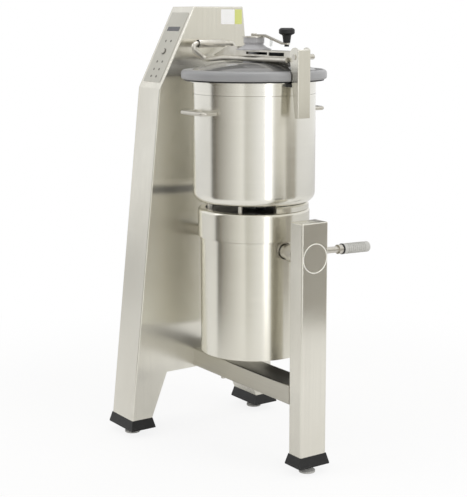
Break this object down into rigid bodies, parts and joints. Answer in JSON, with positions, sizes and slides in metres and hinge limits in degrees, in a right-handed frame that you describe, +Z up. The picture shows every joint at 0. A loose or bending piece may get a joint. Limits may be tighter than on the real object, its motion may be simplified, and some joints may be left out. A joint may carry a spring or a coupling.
{
  "type": "cutter mixer",
  "caption": "Floor-standing vertical cutter mixer: a steel bowl with a cranked lid sits on a motor that tilts between a control column and a post.",
  "frame": {"origin": "on the floor, under the centre of the machine's overall box", "axes": "+Z up, +X from the control column to the post, -Y towards the operator, the side the bowl tilts to"},
  "size_m": [0.738, 0.59, 1.4],
  "materials": {
    "brushed_sheet": "satin brushed stainless sheet",
    "turned_steel": "turned stainless steel",
    "fastener_steel": "plain stainless fasteners",
    "bowl_steel": "polished stainless steel",
    "arm_steel": "satin stainless steel",
    "blade_steel": "ground blade steel",
    "black_plastic": "moulded black plastic",
    "pad_plastic": "light grey moulded plastic",
    "grey_plastic": "moulded grey plastic",
    "dome_plastic": "smoky see-through plastic",
    "tab_plastic": "clear plastic",
    "seal_rubber": "black rubber",
    "panel_film": "printed grey film",
    "display_film": "dark display window",
    "button_plastic": "moulded push button",
    "dark_plate": "dark painted steel",
    "motor_casting": "painted casting",
    "lamination_steel": "stacked steel laminations",
    "shaft_steel": "ground shaft steel",
    "electronics": "circuit board and drive unit"
  },
  "bodies": {
    "stand": {"column": "brushed_sheet", "rear_cover": "brushed_sheet", "cover_screws": "fastener_steel", "control_panel": "panel_film", "display_window": "display_film", "keypad": "panel_film", "button_bezel": "button_plastic", "control_board": "electronics", "inverter": "electronics", "cable_gland": "black_plastic", "crossbeam": "brushed_sheet", "bonding_bolt": "fastener_steel", "post": "brushed_sheet", "post_cap": "brushed_sheet", "column_feet": "black_plastic", "post_foot": "black_plastic", "levelling_studs": "fastener_steel", "levelling_pads": "pad_plastic", "post_bearing": "turned_steel", "column_bearing": "turned_steel"},
    "start_button": {"start_button": "button_plastic"},
    "motor_unit": {"motor_housing": "bowl_steel", "motor_band": "bowl_steel", "motor_top_plate": "dark_plate", "motor_base_plate": "dark_plate", "motor_frame": "motor_casting", "lower_shield": "motor_casting", "stator": "lamination_steel", "shaft_bearings": "shaft_steel", "shaft_seal": "seal_rubber", "column_trunnion": "turned_steel", "post_trunnion": "turned_steel", "tilt_lever": "turned_steel", "lever_grip": "grey_plastic", "bowl_lugs": "turned_steel", "bowl_rest": "bowl_steel"},
    "rotor": {"drive_shaft": "shaft_steel", "motor_rotor": "lamination_steel", "cooling_fan": "dark_plate"},
    "bowl": {"bowl": "bowl_steel", "bowl_handles": "bowl_steel", "hinge_bracket": "arm_steel", "hinge_block": "black_plastic", "hinge_pin": "arm_steel"},
    "cutter": {"cutter_hub": "blade_steel", "cutter_cap": "black_plastic", "cutter_blades": "blade_steel"},
    "lid": {"lid_rim": "grey_plastic", "lid_dome": "dome_plastic", "lid_seal": "seal_rubber", "lid_arm": "arm_steel", "lid_handle": "arm_steel", "handle_grip": "arm_steel", "crank_hub": "grey_plastic", "hub_plate": "arm_steel"},
    "wiper": {"crank_arm": "arm_steel", "crank_shaft": "arm_steel", "crank_tab": "tab_plastic", "wiper_blade": "seal_rubber"},
    "knob": {"crank_knob": "black_plastic"}
  },
  "joints": [
    {"name": "tilt", "type": "hinge", "parent": "stand", "child": "motor_unit", "pos_m": [0.05, 0.001, 0.665], "axis": [1, 0, 0], "range_deg": [0, 105]},
    {"name": "rotor_spin", "type": "hinge", "parent": "motor_unit", "child": "rotor", "pos_m": [0.05, 0.001, 0.515], "axis": [0, 0, 1], "continuous": true},
    {"name": "bowl_lift", "type": "slide", "parent": "motor_unit", "child": "bowl", "axis": [0, 0, 1], "range_m": [0, 0.22]},
    {"name": "cutter_spin", "type": "hinge", "parent": "bowl", "child": "cutter", "pos_m": [0.05, 0.001, 0.9], "axis": [0, 0, 1], "continuous": true},
    {"name": "lid_open", "type": "hinge", "parent": "bowl", "child": "lid", "pos_m": [0.283, 0.001, 1.251], "axis": [0, 1, 0], "range_deg": [0, 95]},
    {"name": "crank_turn", "type": "hinge", "parent": "lid", "child": "wiper", "pos_m": [0.05, 0.001, 1.26], "axis": [0, 0, 1], "continuous": true},
    {"name": "knob_turn", "type": "hinge", "parent": "wiper", "child": "knob", "pos_m": [0.16305, 0.04125, 1.31], "axis": [0, 0, 1], "continuous": true},
    {"name": "start_press", "type": "slide", "parent": "stand", "child": "start_button", "axis": [0, 0.8882, -0.4595], "range_m": [0, 0.002], "stiffness_N_per_m": 400, "springref_m": -0.001}
  ],
  "couplings": [
    {"joint": "cutter_spin", "follows": "rotor_spin", "ratio": 1}
  ]
}
